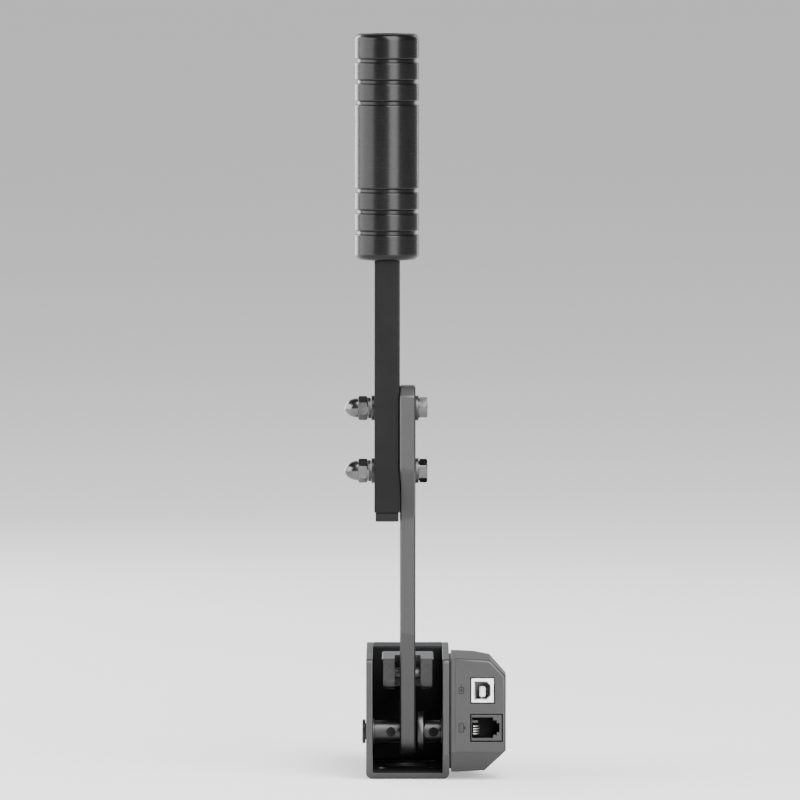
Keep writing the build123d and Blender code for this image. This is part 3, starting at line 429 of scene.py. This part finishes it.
def build_grip():
    """Turned grip: rounded ends and two banks of three grooves with chamfered lips."""
    low, high = box_of("grip")
    radius = (high.x - low.x) / 2
    centre = (low + high) / 2
    length = high.z - low.z
    end_round = 3.0 * MM
    depth = 1.3 * MM
    half = 0.95 * MM
    lip = 0.4 * MM
    floor_round = 0.3 * MM
    guard = 0.3 * MM  # a ring this far outside each lip keeps the bands' shading flat
    pitch = 10.1 * MM
    bank_rise = 62.1 * MM
    first = 13.2 * MM
    bore = 8.0 * MM
    bore_depth = 6.0 * MM
    profile = [(5.2 * MM, 0.0)]
    profile += fillet_arc(radius - end_round, end_round, end_round, -90, 0, 10)
    profile.append((radius, end_round + guard))
    for bank in range(GROOVE_BANKS):
        for index in range(GROOVES_PER_BANK):
            mid = first + bank * bank_rise + index * pitch
            profile.append((radius, mid - half - lip - guard))
            profile.append((radius, mid - half - lip))
            profile.append((radius - lip * 0.35, mid - half - lip * 0.3))
            profile.append((radius - lip, mid - half))
            profile.append((radius - depth + floor_round, mid - half))
            profile.append((radius - depth, mid - half + floor_round))
            profile.append((radius - depth, mid + half - floor_round))
            profile.append((radius - depth + floor_round, mid + half))
            profile.append((radius - lip, mid + half))
            profile.append((radius - lip * 0.35, mid + half + lip * 0.3))
            profile.append((radius, mid + half + lip))
            profile.append((radius, mid + half + lip + guard))
    profile.append((radius, length - end_round - guard))
    profile += fillet_arc(radius - end_round, length - end_round, end_round, 0, 90, 10)
    profile += [(bore + 0.5 * MM, length), (bore, length - 0.5 * MM), (bore, length - bore_depth)]
    bm = bmesh.new()
    lathe(bm, along(Z_AXIS, (centre.x, centre.y, low.z)), profile, 160)
    piece("grip_turned", bm, TURNED, "lever", ("grip",), 28)


def build_grip_plug():
    """Sunk plug with a hexagon socket."""
    low, high = box_of("grip_plug")
    centre = (low + high) / 2
    radius = (high.x - low.x) / 2
    height = high.z - low.z
    edge = 0.5 * MM
    socket = 5.0 * MM
    rings = [circle(radius, 0.0), circle(radius, height - edge), circle(radius - edge, height)]
    rings += [circle(3.4 * MM, height)]
    rings += [lambda angle: (hex_radius(angle, socket, 0.0), height - 0.3 * MM)]
    rings += [lambda angle: (hex_radius(angle, socket, 0.0), height - 3.0 * MM)]
    bm = bmesh.new()
    add_rings(bm, along(Z_AXIS, (centre.x, centre.y, low.z)), rings, 96)
    piece("grip_end_plug", bm, MOULDING, "lever", ("grip_plug",))


# ---------------------------------------------------------------- handle hardware


def bolt_places():
    """The handle bolts' shared y and their two heights, from the washers' box."""
    low, high = box_of("bolt_washers")
    return (low.y + high.y) / 2, (low.z + FLAT_WASHER_RADIUS, high.z - FLAT_WASHER_RADIUS)


def build_handle_hardware():
    """Hexagon bolts, cap nuts, flat washers and split spring washers."""
    y, heights = bolt_places()
    across = HEX_ACROSS_FLATS
    washer_low, washer_high = box_of("bolt_washers")
    head_top = box_of("handle_bolts")[1].x
    nut_seat = box_of("cap_nuts")[1].x
    nut_tip = box_of("cap_nuts")[0].x
    nut_washer_low, nut_washer_high = box_of("nut_washers")
    bolts, nuts, bolt_rings, nut_rings, springs = (bmesh.new() for _ in range(5))
    for z, turn, nut_turn in zip(heights, BOLT_TURNS, CAP_NUT_TURNS):
        head = along(X_AXIS, (washer_high.x, y, z))
        height = head_top - washer_high.x
        disc_r = 4.9 * MM
        disc = 0.35 * MM
        rings = [circle(disc_r, 0.0), circle(disc_r, disc)]
        rings += hexagon_rings(across, disc, height, math.radians(turn), False, True)
        add_rings(bolts, head, rings, 144)
        add_cap_nut(nuts, along(-X_AXIS, (nut_seat, y, z)), nut_seat - nut_tip, across, nut_turn)
        add_washer(bolt_rings, along(X_AXIS, (washer_low.x, y, z)), washer_high.x - washer_low.x)
        add_washer(nut_rings, along(-X_AXIS, (nut_washer_high.x, y, z)), nut_washer_high.x - nut_washer_low.x)
        add_spring_washer(springs, along(-X_AXIS, (nut_washer_low.x, y, z)), nut_washer_low.x - nut_seat)
    piece("handle_bolt_heads", bolts, CHROME, "lever", ("handle_bolts",), 20)
    piece("cap_nuts_turned", nuts, CHROME, "lever", ("cap_nuts",), 20)
    piece("bolt_washers_stamped", bolt_rings, OXIDE, "lever", ("bolt_washers",))
    piece("nut_washers_stamped", nut_rings, OXIDE, "lever", ("nut_washers",))
    piece("spring_washers_split", springs, OXIDE, "lever", ("spring_washers",))


def add_cap_nut(bm, place, length, across, turn):
    """Hexagon with a domed end."""
    dome = length - CAP_NUT_HEX
    steps = 20
    rings = hexagon_rings(across, 0.0, CAP_NUT_HEX, math.radians(turn))
    for step in range(steps):
        lift = math.pi / 2 * step / steps
        radius = CAP_NUT_DOME_RADIUS * math.cos(lift)
        rings.append(circle(radius, CAP_NUT_HEX + dome * math.sin(lift)))
    rings.append(circle(0.2 * MM, length))
    add_rings(bm, place, rings, 144)


def add_washer(bm, place, thickness):
    """Stamped washer: one edge rolled over, the other sharper."""
    outer = FLAT_WASHER_RADIUS
    inner = FLAT_WASHER_BORE
    roll = 0.35 * MM
    profile = [(inner, 0.0), (outer - roll / 2, 0.0), (outer, roll / 2)]
    profile += fillet_arc(outer - roll, thickness - roll, roll, 0, 90, 5)
    profile += [(inner + roll, thickness), (inner, thickness - roll)]
    lathe(bm, place, profile, 96, close_ends=False)


def add_spring_washer(bm, place, thickness):
    """Split ring whose ends are offset along its axis."""
    outer, inner = 5.1 * MM, FLAT_WASHER_BORE
    gap = math.radians(14)
    offset = 0.25 * MM
    steps = 80
    rows = []
    for index in range(steps + 1):
        share = index / steps
        angle = math.pi / 2 + gap / 2 + share * (2 * math.pi - gap)
        low = offset * share
        high = thickness - offset * (1 - share)
        corners = ((inner, low), (outer, low), (outer, high), (inner, high))
        row = [Vector((r * math.cos(angle), r * math.sin(angle), h)) for r, h in corners]
        rows.append([bm.verts.new(place @ point) for point in row])
    for before, after in zip(rows, rows[1:]):
        for index in range(4):
            nxt = (index + 1) % 4
            bm.faces.new((before[index], before[nxt], after[nxt], after[index]))
    bm.faces.new(rows[0])
    bm.faces.new(rows[-1])


# ---------------------------------------------------------------- push rod and load stack


def build_push_rod():
    """Rod with a rolled thread behind the guide."""
    low, high = box_of("push_rod")
    centre = (low + high) / 2
    radius = (high.x - low.x) / 2
    thread_start = box_of("end_block")[1].y - 20.0 * MM
    pitch = 1.0 * MM
    depth = 0.55 * MM
    steps_per_pitch = 8
    rings = [circle(radius, 0.0), circle(radius, thread_start - low.y)]
    start = thread_start - low.y + 0.4 * MM
    end = high.y - low.y

    def thread(height):
        def ring(angle):
            phase = (height / pitch - angle / (2 * math.pi)) % 1.0
            cut = depth * min(1.0, abs(2 * phase - 1) * 1.3)
            return radius - 0.02 * MM - cut, height
        return ring

    count = int((end - start) / pitch * steps_per_pitch)
    rings += [thread(start + (end - 0.8 * MM - start) * i / count) for i in range(count + 1)]
    rings += [circle(radius - depth, end - 0.6 * MM), circle(radius - 1.2 * MM, end)]
    bm = bmesh.new()
    add_rings(bm, along(Y_AXIS, (centre.x, low.y, centre.z)), rings, 48)
    piece("push_rod_threaded", bm, OXIDE, "push_rod", ("push_rod",), 40)


def build_stop_nuts():
    """The two hexagon nuts on the rod, turned differently."""
    bore, countersink = 2.95 * MM, 3.3 * MM
    for node, turn in (("stop_nut", 7.0), ("jam_nut", 24.0)):
        low, high = box_of(node)
        centre = (low + high) / 2
        length = high.y - low.y
        rings = [circle(bore, 0.0)]
        rings += hexagon_rings(HEX_ACROSS_FLATS, 0.0, length, math.radians(turn))
        rings += [circle(countersink, length), circle(bore, length - 0.35 * MM)]
        bm = bmesh.new()
        add_rings(bm, along(Y_AXIS, (centre.x, low.y, centre.z)), rings, 144, close_ends=False)
        piece(f"{node}_turned", bm, CHROME, "push_rod", (node,), 20)


def build_elastomers():
    """Three waisted pads, each with a mesh of its own; the rigid washers between them keep their length."""
    for index in range(1, PADS + 1):
        low, high = box_of(f"elastomer_{index}")
        centre = (low + high) / 2
        radius = (high.x - low.x) / 2
        length = high.y - low.y
        bore = 3.35 * MM
        edge = 0.5 * MM
        waist = 0.55 * MM
        outside = []
        for step in range(17):
            share = step / 16
            outside.append((radius - waist * math.sin(math.pi * share), edge + (length - 2 * edge) * share))
        profile = [(bore, 0.0), (radius - edge, 0.0), (radius - edge * 0.3, edge * 0.3)]
        profile += outside + [(radius - edge * 0.3, length - edge * 0.3), (radius - edge, length)]
        profile += [(bore, length)]
        bm = bmesh.new()
        lathe(bm, along(Y_AXIS, (centre.x, low.y, centre.z)), profile, 96, close_ends=False)
        made = piece(f"load_pad_{index}", bm, RUBBER, "base", (f"elastomer_{index}",))
        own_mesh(made)


# ---------------------------------------------------------------- sockets and marks


def add_block(bm, low, high):
    low, high = Vector(low), Vector(high)
    middle = (low + high) / 2
    size = high - low
    place = Matrix.Translation(middle) @ Matrix.Diagonal((*size, 1.0))
    return bmesh.ops.create_cube(bm, size=1.0, matrix=place)["verts"]


def bevel_all(bm, width, segments=2):
    bmesh.ops.bevel(
        bm, geom=bm.edges[:], offset=width, segments=segments, affect="EDGES", clamp_overlap=True
    )


def add_loops(bm, loops, close_first=True, close_last=True):
    """Skins closed loops with the same number of points, and caps the ends."""
    rows = [[bm.verts.new(point) for point in loop] for loop in loops]
    strips = []
    for lower, upper in zip(rows, rows[1:]):
        strip = []
        for index in range(len(lower)):
            after = (index + 1) % len(lower)
            strip.append(bm.faces.new((lower[index], lower[after], upper[after], upper[index])))
        strips.append(strip)
    if close_first:
        bm.faces.new(rows[0])
    if close_last:
        strips.append([bm.faces.new(rows[-1])])
    return strips


def build_usb_shell():
    """Plated shell with a flat bright rim; inside its bevelled opening the walls and floor take a darker,
    duller plating as painted shade.
    """
    low, high = box_of("usb_shell")
    wall, bevel = 1.6 * MM, 1.7 * MM
    edge = 0.22 * MM
    x_low, x_high = low.x + wall, high.x - wall
    z_low, z_high = low.z + wall, high.z - wall

    def outer(y, inset):
        left, right, bottom, top = low.x + inset, high.x - inset, low.z + inset, high.z - inset
        places = (
            (left, bottom),
            (right, bottom),
            (right, z_low + bevel),
            (right, z_high - bevel),
            (right, top),
            (left, top),
        )
        return [(x, y, z) for x, z in places]

    def opening(y, inset):
        left, right, bottom, top = x_low + inset, x_high - inset, z_low + inset, z_high - inset
        places = (
            (left, bottom),
            (right - bevel, bottom),
            (right, bottom + bevel),
            (right, top - bevel),
            (right - bevel, top),
            (left, top),
        )
        return [(x, y, z) for x, z in places]

    front, back = low.y, high.y
    floor_y = back - wall
    loops = [
        outer(back, 0.0),
        outer(front + edge, 0.0),
        outer(front, edge),
        opening(front, -edge),
        opening(front + edge, 0.0),
        opening(front + 1.2 * MM, 0.05 * MM),
        opening(front + 1.2 * MM, 0.35 * MM),
        opening(floor_y, 0.35 * MM),
    ]
    bm = bmesh.new()
    strips = add_loops(bm, loops)
    # The walls and floor inside the opening take the second material, painted shade of the recess.
    for strip in strips[4:]:
        for face in strip:
            face.material_index = 1
    piece("usb_shell_drawn", bm, SOCKET_METAL, "base", ("usb_shell",), 25, (SOCKET_PAINTED_SHADE,))


def build_usb_tongue():
    """White tongue with two sprung contacts on each broad side."""
    low, high = box_of("usb_tongue")
    bm = bmesh.new()
    add_block(bm, low, high)
    bevel_all(bm, 0.35 * MM)
    piece("usb_tongue_moulded", bm, WHITE, "base", ("usb_tongue",))
    contacts = bmesh.new()
    width, thick = 1.0 * MM, 0.18 * MM
    for side_x in (low.x - thick, high.x):
        for share in (0.28, 0.72):
            z = low.z + (high.z - low.z) * share
            add_block(
                contacts,
                (side_x, low.y + 0.6 * MM, z - width / 2),
                (side_x + thick, high.y, z + width / 2),
            )
    bevel_all(contacts, 0.05 * MM, 1)
    piece("usb_contacts", contacts, CONTACT_METAL, "base")


def build_jack_shell():
    """Socket body: a bevelled rim around a stepped mouth whose inside walls take a darker moulding as painted
    shade, with one moulded ledge.
    """
    low, high = box_of("modular_jack")
    middle = (low.z + high.z) / 2
    mouth_left = low.x + 0.5 * MM
    steps = ((low.x + 10.5 * MM, 4.9 * MM), (low.x + 12.3 * MM, 3.45 * MM), (low.x + 13.6 * MM, 2.1 * MM))
    edge = 0.25 * MM

    def outer(y, inset):
        left, right, bottom, top = low.x + inset, high.x - inset, low.z + inset, high.z - inset
        lower = [(left, bottom), (steps[0][0], bottom), (steps[0][0] + MM, bottom)]
        lower += [(steps[1][0], bottom), (steps[1][0] + 0.6 * MM, bottom), (right, bottom)]
        upper = [(x, top) for x, _ in reversed(lower)]
        return [(x, y, z) for x, z in lower + upper]

    def mouth(y, inset):
        (x1, h1), (x2, h2), (x3, h3) = [(x - inset, half - inset) for x, half in steps]
        left = mouth_left + inset
        lower = [(left, -h1), (x1, -h1), (x1, -h2), (x2, -h2), (x2, -h3), (x3, -h3)]
        upper = [(x, -z) for x, z in reversed(lower)]
        return [(x, y, middle + z) for x, z in lower + upper]

    front, back = low.y, high.y
    loops = [
        outer(back, 0.0),
        outer(front + edge, 0.0),
        outer(front, edge),
        mouth(front, -edge),
        mouth(front + edge, 0.0),
        mouth(front + 14.0 * MM, 0.0),
    ]
    bm = bmesh.new()
    strips = add_loops(bm, loops)
    # The mouth's inside walls and back take the second material, painted shade of the recess.
    for strip in strips[4:]:
        for face in strip:
            face.material_index = 1
    ledge_z = middle + 3.0 * MM
    add_block(
        bm,
        (mouth_left, front + 0.8 * MM, ledge_z - 0.55 * MM),
        (mouth_left + 2.8 * MM, front + 9.0 * MM, ledge_z + 0.55 * MM),
    )
    replaced = ("modular_jack",)
    piece("modular_jack_moulded", bm, JACK_MOULDING, "base", replaced, 25, (JACK_PAINTED_SHADE,))


def build_port_marks():
    """Printed pictograms of each socket, in place of lettering."""
    low, high = box_of("port_marks")
    mid_x = (low.x + high.x) / 2
    face_y = high.y
    print_y = face_y - 0.06 * MM
    line = 0.35 * MM
    bm = bmesh.new()
    usb_low, usb_high = box_of("usb_shell")
    jack_low, jack_high = box_of("modular_jack")

    def bar(x0, x1, z0, z1):
        add_block(bm, (x0, print_y, z0), (x1, face_y + 0.05 * MM, z1))

    def outline(centre_z, half_x, half_z):
        bar(mid_x - half_x, mid_x + half_x, centre_z - half_z, centre_z - half_z + line)
        bar(mid_x - half_x, mid_x + half_x, centre_z + half_z - line, centre_z + half_z)
        bar(mid_x - half_x, mid_x - half_x + line, centre_z - half_z + line, centre_z + half_z - line)
        bar(mid_x + half_x - line, mid_x + half_x, centre_z - half_z + line, centre_z + half_z - line)

    usb_z = (usb_low.z + usb_high.z) / 2
    outline(usb_z, 1.25 * MM, 1.6 * MM)
    bar(mid_x - 0.35 * MM, mid_x + 0.35 * MM, usb_z - 0.7 * MM, usb_z + 0.7 * MM)
    bar(mid_x - line / 2, mid_x + line / 2, usb_z + 1.6 * MM, usb_z + 2.9 * MM)
    jack_z = (jack_low.z + jack_high.z) / 2
    outline(jack_z, 1.25 * MM, 2.2 * MM)
    for index in range(JACK_WIRES):
        z = jack_z + (index - (JACK_WIRES - 1) / 2) * 0.85 * MM
        bar(mid_x - 1.25 * MM + 2 * line, mid_x + 0.1 * MM, z - line / 3, z + line / 3)
    bar(mid_x + 1.25 * MM, mid_x + 2.0 * MM, jack_z - 0.7 * MM, jack_z + 0.7 * MM)
    piece("port_pictograms", bm, PRINT, "base", ("port_marks",))


def build_jack_contacts():
    """Four round spring wires that lie across the mouth and turn back at their ends."""
    low, high = box_of("jack_contacts")
    wire = 0.3 * MM
    first, last = low.z + wire, high.z - wire
    bm = bmesh.new()
    for index in range(JACK_WIRES):
        z = first + (last - first) * index / (JACK_WIRES - 1)
        points = (
            Vector((low.x + wire, low.y + wire, z)),
            Vector((low.x + 2.5 * MM, low.y + 1.1 * MM, z)),
            Vector((high.x - 2 * wire, low.y + 2.0 * MM, z)),
            Vector((high.x - wire, high.y, z)),
        )
        add_wire(bm, points, wire)
    piece("jack_contact_wires", bm, CONTACT_METAL, "base", ("jack_contacts",), 50)


def add_wire(bm, points, radius, sides=12):
    """A round wire through points that share one height, with flat ends."""
    rows = []
    for index, point in enumerate(points):
        before = points[max(index - 1, 0)]
        after = points[min(index + 1, len(points) - 1)]
        across = (after - before).normalized().cross(Z_AXIS)
        row = []
        for side in range(sides):
            angle = 2 * math.pi * side / sides
            row.append(bm.verts.new(point + radius * (across * math.cos(angle) + Z_AXIS * math.sin(angle))))
        rows.append(row)
    for lower, upper in zip(rows, rows[1:]):
        for side in range(sides):
            after = (side + 1) % sides
            bm.faces.new((lower[side], lower[after], upper[after], upper[side]))
    bm.faces.new(rows[0])
    bm.faces.new(rows[-1])


# ---------------------------------------------------------------- CAD nodes' finishes


def finish_cad():
    cad_finish(("base_frame",), COAT, 0.45 * MM)
    cad_finish(("lever_arm",), COAT, 0.55 * MM)
    cad_finish(("grip_bar",), DRAWN, 0.4 * MM)
    cad_finish(("end_block",), BLOCK, 0.35 * MM)
    cad_finish(("clevis_fork", "preload_plate"), MILLED, 0.35 * MM)
    cad_finish(("lever_flange",), COLLAR, 0.6 * MM)
    cad_finish(("collar_left", "collar_right"), COLLAR)
    cad_finish(("stack_washer_1", "stack_washer_2", "stop_washer"), OXIDE, 0.2 * MM)
    cad_finish(("pivot_shaft", "clevis_pin"), OXIDE, 0.2 * MM)
    cad_finish(("shaft_cap",), OXIDE, 0.15 * MM)
    # The sunk set screws' dark finish is partly painted shade of their holes.
    cad_finish(("collar_screws",), BLACKENED_AND_HOLE_SHADE, 0.15 * MM)
    cad_finish(("end_block_screws_left", "end_block_screws_right", "housing_screws"), OXIDE, 0.15 * MM)
    cad_finish(("grip_stud", "sensor_magnet"), OXIDE)
    cad_finish(("pivot_bush_left", "pivot_bush_right", "rod_guide_bush"), BUSHING, 0.15 * MM)
    cad_finish(("sensor_housing",), MOULDING, 0.7 * MM, 4)
    cad_finish(("housing_backplate",), MOULDING, 0.3 * MM)
    cad_finish(("bar_end_cap",), CAP_MOULDING, 0.3 * MM)
    cad_finish(("sensor_board",), BOARD, 0.1 * MM)
    cad_finish(("sensor_chip",), MOULDING, 0.1 * MM)


# ---------------------------------------------------------------- stage, lights and camera


def build_floor():
    bm = bmesh.new()
    bmesh.ops.create_grid(bm, x_segments=1, y_segments=1, size=FLOOR_HALF)
    mesh = bpy.data.meshes.new("floor")
    bm.to_mesh(mesh)
    bm.free()
    mesh.materials.append(painted_floor())
    floor = bpy.data.objects.new("floor", mesh)
    floor.location.z = CAD_BOX[0][2]
    bpy.context.scene.collection.objects.link(floor)


def soft_box(name, azimuth, elevation, distance, width, height, power):
    """An area light that looks at the object's middle; azimuth 0 is in front, towards -Y."""
    target = Vector(LIGHT_TARGET)
    turn, rise = math.radians(azimuth), math.radians(elevation)
    away = Vector((math.sin(turn) * math.cos(rise), -math.cos(turn) * math.cos(rise), math.sin(rise)))
    light = bpy.data.lights.new(name, "AREA")
    light.shape = "RECTANGLE"
    light.size = width
    light.size_y = height
    light.energy = power
    lamp = bpy.data.objects.new(name, light)
    lamp.location = target + away * distance
    lamp.rotation_euler = away.to_track_quat("Z", "Y").to_euler()
    lamp.visible_camera = False
    bpy.context.scene.collection.objects.link(lamp)


def build_lights():
    soft_box("front", 24.0, 36.0, 3.0, 1.9, 4.7, 430.0)
    soft_box("side_left", -80.0, 12.0, 2.2, 2.9, 2.2, 140.0)
    soft_box("rim_left", -140.0, 10.0, 1.8, 0.9, 1.6, 45.0)
    soft_box("rim_right", 146.0, 10.0, 1.8, 0.4, 1.6, 6.0)
    world = bpy.data.worlds.new("studio")
    world.use_nodes = True
    background = world.node_tree.nodes["Background"]
    background.inputs["Color"].default_value = (0.96, 0.97, 1.0, 1.0)
    # Brighter low behind the object, to lift the far floor towards the tone of the near floor.
    tree = world.node_tree
    direction = tree.nodes.new("ShaderNodeTexCoord")
    parts = tree.nodes.new("ShaderNodeSeparateXYZ")
    tree.links.new(direction.outputs["Generated"], parts.inputs["Vector"])
    glow = tree.nodes.new("ShaderNodeMapRange")
    glow.interpolation_type = "SMOOTHSTEP"
    glow.inputs["From Min"].default_value = SKY_FROM
    glow.inputs["From Max"].default_value = SKY_FULL
    glow.inputs["To Min"].default_value = SKY_ELSEWHERE
    glow.inputs["To Max"].default_value = SKY_BEHIND
    tree.links.new(parts.outputs["Y"], glow.inputs["Value"])
    tree.links.new(glow.outputs["Result"], background.inputs["Strength"])
    bpy.context.scene.world = world


def build_camera():
    """A very long lens a little above the grip, looking slightly down."""
    camera = bpy.data.cameras.new("camera")
    camera.sensor_width = SENSOR_WIDTH
    camera.lens = LENS
    camera.clip_start = 0.1
    camera.clip_end = 200.0
    body = bpy.data.objects.new("camera", camera)
    front = box_of("base_frame")[0].y
    body.location = (CAMERA_X, front - CAMERA_DISTANCE, CAMERA_HEIGHT)
    body.rotation_euler = (math.pi / 2 - LOOK_DOWN, 0.0, 0.0)
    bpy.context.scene.collection.objects.link(body)
    bpy.context.scene.camera = body


build_grip()
build_grip_plug()
build_handle_hardware()
build_push_rod()
build_stop_nuts()
build_elastomers()
build_usb_shell()
build_usb_tongue()
build_jack_shell()
build_jack_contacts()
build_port_marks()
finish_cad()
build_floor()
build_lights()
build_camera()
